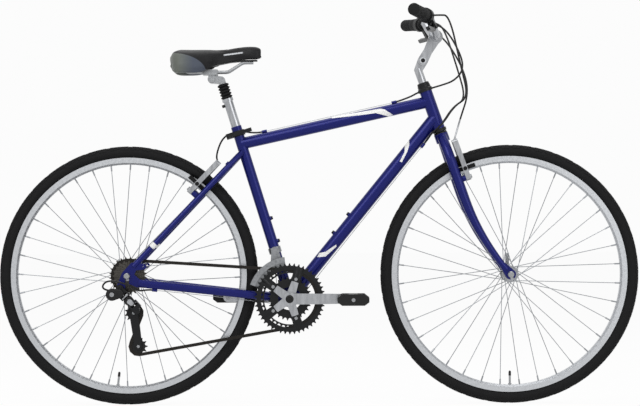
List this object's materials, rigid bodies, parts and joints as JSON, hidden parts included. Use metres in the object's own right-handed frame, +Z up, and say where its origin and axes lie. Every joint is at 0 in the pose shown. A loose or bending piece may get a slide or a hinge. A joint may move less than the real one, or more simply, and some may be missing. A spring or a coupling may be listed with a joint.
{
  "type": "hybrid bike",
  "caption": "Adult hybrid bike with a diamond frame, suspension seatpost, adjustable stem, rim brakes, twist shifters and a derailleur chain drive.",
  "frame": {"origin": "on the ground, midway between the two axles", "axes": "+X forward, +Y to the rider's left, +Z up"},
  "size_m": [1.73, 0.6092, 1.0614],
  "materials": {
    "frame_paint": "metallic dark blue, glossy",
    "black_metal": "satin black",
    "tyre_rubber": "matte black",
    "rim_alloy": "brushed",
    "spoke_steel": "bright",
    "polished_alloy": "polished",
    "silver_steel": "satin",
    "chain_steel": "oiled",
    "black_plastic": "matte",
    "black_rubber": "matte",
    "housing_plastic": "semi-gloss black",
    "saddle_vinyl": "satin black"
  },
  "bodies": {
    "main_frame": {"frame": "frame_paint", "bearing_cups": "black_metal", "seat_collar": "black_metal", "front_derailleur_body": "silver_steel", "rear_derailleur_knuckle": "black_metal", "chain": "chain_steel", "rear_axle": "silver_steel", "frame_cables": "housing_plastic"},
    "fork_assembly": {"fork": "frame_paint", "headset_races": "black_metal", "front_axle": "silver_steel", "stem_quill": "polished_alloy"},
    "handlebar_assembly": {"stem_extension": "polished_alloy", "handlebar": "polished_alloy", "grips": "black_rubber", "lever_brackets": "black_plastic", "front_brake_cable": "housing_plastic"},
    "rear_wheel": {"rear_tyre": "tyre_rubber", "rear_rim": "rim_alloy", "rear_spokes": "spoke_steel", "rear_hub": "polished_alloy"},
    "front_wheel": {"front_tyre": "tyre_rubber", "front_rim": "rim_alloy", "front_spokes": "spoke_steel", "front_hub": "polished_alloy"},
    "sprocket_cluster": {"sprockets": "silver_steel"},
    "crankset": {"crank_arms": "polished_alloy", "chainrings": "black_metal", "crank_axles": "silver_steel"},
    "pedal_left": {"left_pedal": "black_plastic"},
    "pedal_right": {"right_pedal": "black_plastic"},
    "rear_changer_outer_link": {"rear_derailleur_outer_link": "silver_steel"},
    "rear_changer_inner_link": {"rear_derailleur_inner_link": "silver_steel"},
    "rear_changer_arm": {"rear_derailleur_arm": "black_metal"},
    "rear_changer_cage": {"rear_derailleur_cage": "black_metal"},
    "jockey_upper": {"upper_jockey_wheel": "black_plastic"},
    "jockey_lower": {"lower_jockey_wheel": "black_plastic"},
    "front_changer_cage": {"front_derailleur_cage": "silver_steel"},
    "front_brake_left": {"front_brake_arm_left": "polished_alloy", "front_brake_pad_left": "black_rubber"},
    "front_brake_right": {"front_brake_arm_right": "polished_alloy", "front_brake_pad_right": "black_rubber"},
    "rear_brake_left": {"rear_brake_arm_left": "polished_alloy", "rear_brake_pad_left": "black_rubber"},
    "rear_brake_right": {"rear_brake_arm_right": "polished_alloy", "rear_brake_pad_right": "black_rubber"},
    "lever_left": {"left_brake_lever": "black_metal"},
    "lever_right": {"right_brake_lever": "black_metal"},
    "twist_left": {"left_twist_grip": "black_rubber"},
    "twist_right": {"right_twist_grip": "black_rubber"},
    "collar_lever": {"seat_collar_lever": "black_metal"},
    "skewer_lever_rear": {"rear_skewer_lever": "silver_steel"},
    "skewer_lever_front": {"front_skewer_lever": "silver_steel"},
    "post": {"seatpost": "polished_alloy", "seatpost_boot": "black_rubber"},
    "plunger": {"seatpost_plunger": "silver_steel"},
    "clamp": {"saddle_clamp": "silver_steel"},
    "saddle": {"saddle_rails": "silver_steel", "saddle_base": "black_plastic", "saddle_cover": "saddle_vinyl"}
  },
  "joints": [
    {"name": "steering", "type": "hinge", "parent": "main_frame", "child": "fork_assembly", "pos_m": [0.326, 0, 0.74374], "axis": [-0.3289, 0, 0.9444], "range_deg": [-60, 60], "deforming": ["frame_cables"]},
    {"name": "stem_tilt", "type": "hinge", "parent": "fork_assembly", "child": "handlebar_assembly", "pos_m": [0.28306, 0, 0.92786], "axis": [0, 1, 0], "range_deg": [-20, 30], "deforming": ["front_brake_cable"]},
    {"name": "front_wheel_spin", "type": "hinge", "parent": "fork_assembly", "child": "front_wheel", "pos_m": [0.515, 0, 0.35], "axis": [0, 1, 0], "continuous": true},
    {"name": "rear_wheel_spin", "type": "hinge", "parent": "main_frame", "child": "rear_wheel", "pos_m": [-0.515, 0, 0.35], "axis": [0, 1, 0], "continuous": true},
    {"name": "crank_spin", "type": "hinge", "parent": "main_frame", "child": "crankset", "pos_m": [-0.07953, 0, 0.287], "axis": [0, 1, 0], "continuous": true, "deforming": ["chain"]},
    {"name": "sprocket_spin", "type": "hinge", "parent": "main_frame", "child": "sprocket_cluster", "pos_m": [-0.515, 0, 0.35], "axis": [0, 1, 0], "continuous": true},
    {"name": "left_pedal_spin", "type": "hinge", "parent": "crankset", "child": "pedal_left", "pos_m": [-0.24953, 0.123, 0.287], "axis": [0, 1, 0], "continuous": true},
    {"name": "right_pedal_spin", "type": "hinge", "parent": "crankset", "child": "pedal_right", "pos_m": [0.09047, -0.123, 0.287], "axis": [0, 1, 0], "continuous": true},
    {"name": "rear_changer_outer_link_swing", "type": "hinge", "parent": "main_frame", "child": "rear_changer_outer_link", "pos_m": [-0.519, -0.095, 0.296], "axis": [0.746, 0, 0.666], "range_deg": [-39, 10.8]},
    {"name": "rear_changer_inner_link_swing", "type": "hinge", "parent": "main_frame", "child": "rear_changer_inner_link", "pos_m": [-0.519, -0.081, 0.296], "axis": [0.746, 0, 0.666], "range_deg": [-39, 10.8]},
    {"name": "rear_changer_arm_swing", "type": "hinge", "parent": "rear_changer_outer_link", "child": "rear_changer_arm", "pos_m": [-0.50035, -0.067, 0.27511], "axis": [0.746, 0, 0.666], "range_deg": [-10.8, 39]},
    {"name": "rear_changer_cage_swing", "type": "hinge", "parent": "rear_changer_arm", "child": "rear_changer_cage", "pos_m": [-0.491, -0.0378, 0.258], "axis": [0, 1, 0], "range_deg": [-25, 35], "stiffness_Nm_per_rad": 2},
    {"name": "upper_jockey_spin", "type": "hinge", "parent": "rear_changer_cage", "child": "jockey_upper", "pos_m": [-0.4999, -0.0378, 0.24989], "axis": [0, 1, 0], "continuous": true},
    {"name": "lower_jockey_spin", "type": "hinge", "parent": "rear_changer_cage", "child": "jockey_lower", "pos_m": [-0.4878, -0.0378, 0.16003], "axis": [0, 1, 0], "continuous": true},
    {"name": "front_changer_shift", "type": "slide", "parent": "main_frame", "child": "front_changer_cage", "axis": [0, -1, 0], "range_m": [-0.007, 0.0066]},
    {"name": "front_left_brake_close", "type": "hinge", "parent": "fork_assembly", "child": "front_brake_left", "pos_m": [0.40225, 0.042, 0.61236], "axis": [0.9444, 0, 0.3289], "range_deg": [0, 3.4]},
    {"name": "front_right_brake_close", "type": "hinge", "parent": "fork_assembly", "child": "front_brake_right", "pos_m": [0.40225, -0.042, 0.61236], "axis": [-0.9444, 0, -0.3289], "range_deg": [0, 3.4]},
    {"name": "rear_left_brake_close", "type": "hinge", "parent": "main_frame", "child": "rear_brake_left", "pos_m": [-0.34458, 0.042, 0.57927], "axis": [0.7249, 0, -0.6888], "range_deg": [0, 3.4]},
    {"name": "rear_right_brake_close", "type": "hinge", "parent": "main_frame", "child": "rear_brake_right", "pos_m": [-0.34458, -0.042, 0.57927], "axis": [-0.7249, 0, 0.6888], "range_deg": [0, 3.4]},
    {"name": "left_brake_lever_pull", "type": "hinge", "parent": "handlebar_assembly", "child": "lever_left", "pos_m": [0.30452, 0.15753, 1.00919], "axis": [0.8457, 0.2155, 0.4883], "range_deg": [0, 15], "stiffness_Nm_per_rad": 2},
    {"name": "left_twist_shift", "type": "hinge", "parent": "handlebar_assembly", "child": "twist_left", "pos_m": [0.275, 0.2039, 1.03986], "axis": [0.2744, -0.9603, -0.0514], "range_deg": [-46, 43]},
    {"name": "right_brake_lever_pull", "type": "hinge", "parent": "handlebar_assembly", "child": "lever_right", "pos_m": [0.30452, -0.15753, 1.00919], "axis": [-0.8457, 0.2155, -0.4883], "range_deg": [0, 15], "stiffness_Nm_per_rad": 2},
    {"name": "right_twist_shift", "type": "hinge", "parent": "handlebar_assembly", "child": "twist_right", "pos_m": [0.275, -0.2039, 1.03986], "axis": [-0.2744, -0.9603, 0.0514], "range_deg": [-117, 32.4]},
    {"name": "seat_collar_lever_open", "type": "hinge", "parent": "main_frame", "child": "collar_lever", "pos_m": [-0.24342, -0.02235, 0.72513], "axis": [0.2957, 0, -0.9553], "range_deg": [0, 170]},
    {"name": "rear_skewer_lever_open", "type": "hinge", "parent": "main_frame", "child": "skewer_lever_rear", "pos_m": [-0.515, 0.0918, 0.35], "axis": [-0.7071, 0, -0.7071], "range_deg": [0, 170]},
    {"name": "front_skewer_lever_open", "type": "hinge", "parent": "fork_assembly", "child": "skewer_lever_front", "pos_m": [0.515, 0.0738, 0.35], "axis": [-1, 0, 0], "range_deg": [0, 170]},
    {"name": "seatpost_height", "type": "slide", "parent": "main_frame", "child": "post", "axis": [-0.2957, 0, 0.9553], "range_m": [-0.05, 0.08]},
    {"name": "seatpost_suspension", "type": "slide", "parent": "post", "child": "plunger", "axis": [0.2957, 0, -0.9553], "range_m": [0, 0.03], "stiffness_N_per_m": 20000, "springref_m": -0.01, "deforming": ["seatpost_boot"]},
    {"name": "saddle_tilt", "type": "hinge", "parent": "plunger", "child": "clamp", "pos_m": [-0.28816, 0, 0.87982], "axis": [0, 1, 0], "range_deg": [-6, 6]},
    {"name": "saddle_setback", "type": "slide", "parent": "clamp", "child": "saddle", "axis": [1, 0, 0], "range_m": [-0.012, 0.012]}
  ],
  "couplings": [
    {"joint": "sprocket_spin", "follows": "crank_spin", "ratio": 1.8095},
    {"joint": "upper_jockey_spin", "follows": "crank_spin", "ratio": -3.4545},
    {"joint": "lower_jockey_spin", "follows": "crank_spin", "ratio": 3.4545},
    {"joint": "rear_changer_outer_link_swing", "follows": "right_twist_shift", "ratio": 0.33333},
    {"joint": "rear_changer_inner_link_swing", "follows": "right_twist_shift", "ratio": 0.33333},
    {"joint": "rear_changer_arm_swing", "follows": "right_twist_shift", "ratio": -0.33333},
    {"joint": "front_changer_shift", "follows": "left_twist_shift", "m_per_rad": 0.0085},
    {"joint": "front_left_brake_close", "follows": "left_brake_lever_pull", "ratio": 0.2266},
    {"joint": "front_right_brake_close", "follows": "left_brake_lever_pull", "ratio": 0.2266},
    {"joint": "rear_left_brake_close", "follows": "right_brake_lever_pull", "ratio": 0.2266},
    {"joint": "rear_right_brake_close", "follows": "right_brake_lever_pull", "ratio": 0.2266}
  ]
}
